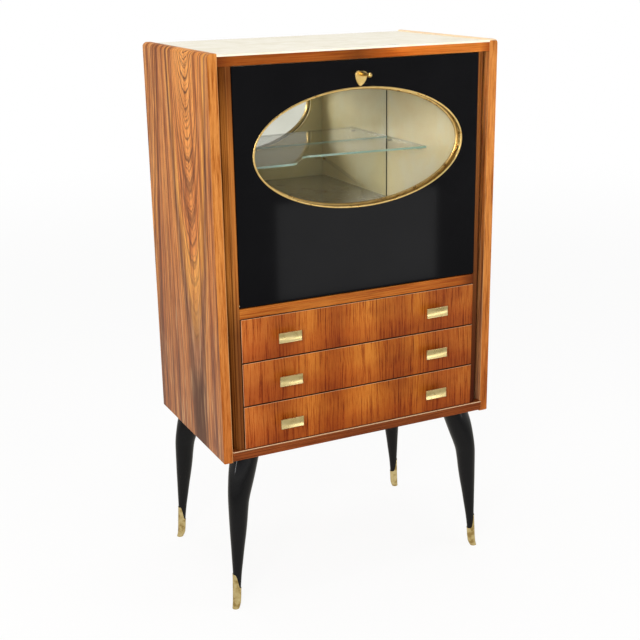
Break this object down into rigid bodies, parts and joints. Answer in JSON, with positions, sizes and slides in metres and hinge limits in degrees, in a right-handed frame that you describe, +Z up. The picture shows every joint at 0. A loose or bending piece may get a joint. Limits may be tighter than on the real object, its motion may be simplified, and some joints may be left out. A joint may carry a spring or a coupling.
{
  "type": "bar cabinet",
  "caption": "Bar cabinet on splayed legs, with a drop-front door with an oval window over a mirrored bar compartment, and drawers with brass pulls below.",
  "frame": {"origin": "on the floor, under the middle of the cabinet's bounding box", "axes": "+X to the right, +Y from the front to the back, +Z up"},
  "size_m": [0.78, 0.5251, 1.42],
  "materials": {
    "side_veneer": "gloss lacquer",
    "rail_wood": "gloss lacquer",
    "drawer_veneer": "gloss lacquer",
    "inner_wood": "satin",
    "back_board": "matte",
    "black_lacquer": "high gloss lacquer",
    "cream_laminate": "gloss",
    "cream_lining": "satin",
    "door_lining": "satin",
    "dark_glass": "polished",
    "mirror_glass": "polished",
    "shelf_glass": "polished",
    "window_glass": "polished",
    "brass": "polished",
    "steel": "brushed"
  },
  "bodies": {
    "carcass": {"left_side_panel": "side_veneer", "right_side_panel": "side_veneer", "top_board": "inner_wood", "top_sheet": "cream_laminate", "bottom_board": "inner_wood", "middle_board": "inner_wood", "top_rail": "rail_wood", "middle_rail": "rail_wood", "bottom_rail": "rail_wood", "left_stile": "rail_wood", "right_stile": "rail_wood", "left_cheek": "inner_wood", "right_cheek": "inner_wood", "left_lining": "cream_lining", "right_lining": "cream_lining", "back_panel": "back_board", "back_screws": "steel", "bar_floor": "inner_wood", "bar_floor_glass": "dark_glass", "back_mirror": "mirror_glass", "glass_shelf": "shelf_glass", "shelf_studs": "brass", "hinge_pins": "steel", "stay_studs": "brass", "drawer_runners": "inner_wood", "legs": "black_lacquer", "leg_shoes": "brass"},
    "door": {"door_panel": "black_lacquer", "door_lining": "door_lining", "window_ring": "brass", "window_glass": "window_glass", "hinge_bushes": "brass", "escutcheon": "brass", "lock_case": "steel", "stay_brackets": "brass"},
    "key": {"key": "brass"},
    "lock_bolt": {"lock_bolt": "steel"},
    "left_stay": {"left_stay": "brass"},
    "right_stay": {"right_stay": "brass"},
    "drawer_1": {"drawer_1_front": "drawer_veneer", "drawer_1_sides": "inner_wood", "drawer_1_back": "inner_wood", "drawer_1_bottom": "inner_wood", "drawer_1_pulls": "brass"},
    "drawer_2": {"drawer_2_front": "drawer_veneer", "drawer_2_sides": "inner_wood", "drawer_2_back": "inner_wood", "drawer_2_bottom": "inner_wood", "drawer_2_pulls": "brass"},
    "drawer_3": {"drawer_3_front": "drawer_veneer", "drawer_3_sides": "inner_wood", "drawer_3_back": "inner_wood", "drawer_3_bottom": "inner_wood", "drawer_3_pulls": "brass"}
  },
  "joints": [
    {"name": "door_hinge", "type": "hinge", "parent": "carcass", "child": "door", "pos_m": [0, -0.20681, 0.8225], "axis": [1, 0, 0], "range_deg": [0, 90]},
    {"name": "key_turn", "type": "hinge", "parent": "door", "child": "key", "pos_m": [0, -0.21281, 1.355], "axis": [0, 1, 0], "range_deg": [0, 90]},
    {"name": "bolt_slide", "type": "slide", "parent": "door", "child": "lock_bolt", "axis": [0, 0, 1], "range_m": [0, 0.008]},
    {"name": "left_stay_pivot", "type": "hinge", "parent": "door", "child": "left_stay", "pos_m": [-0.3226, -0.18241, 1.0025], "axis": [1, 0, 0], "range_deg": [-45, 0]},
    {"name": "right_stay_pivot", "type": "hinge", "parent": "door", "child": "right_stay", "pos_m": [0.3226, -0.18241, 1.0025], "axis": [1, 0, 0], "range_deg": [-45, 0]},
    {"name": "drawer_1_slide", "type": "slide", "parent": "carcass", "child": "drawer_1", "axis": [0, -1, 0], "range_m": [0, 0.3]},
    {"name": "drawer_2_slide", "type": "slide", "parent": "carcass", "child": "drawer_2", "axis": [0, -1, 0], "range_m": [0, 0.3]},
    {"name": "drawer_3_slide", "type": "slide", "parent": "carcass", "child": "drawer_3", "axis": [0, -1, 0], "range_m": [0, 0.3]}
  ],
  "couplings": [
    {"joint": "bolt_slide", "follows": "key_turn", "m_per_rad": 0.00509},
    {"joint": "left_stay_pivot", "follows": "door_hinge", "ratio": -0.5},
    {"joint": "right_stay_pivot", "follows": "door_hinge", "ratio": -0.5}
  ]
}
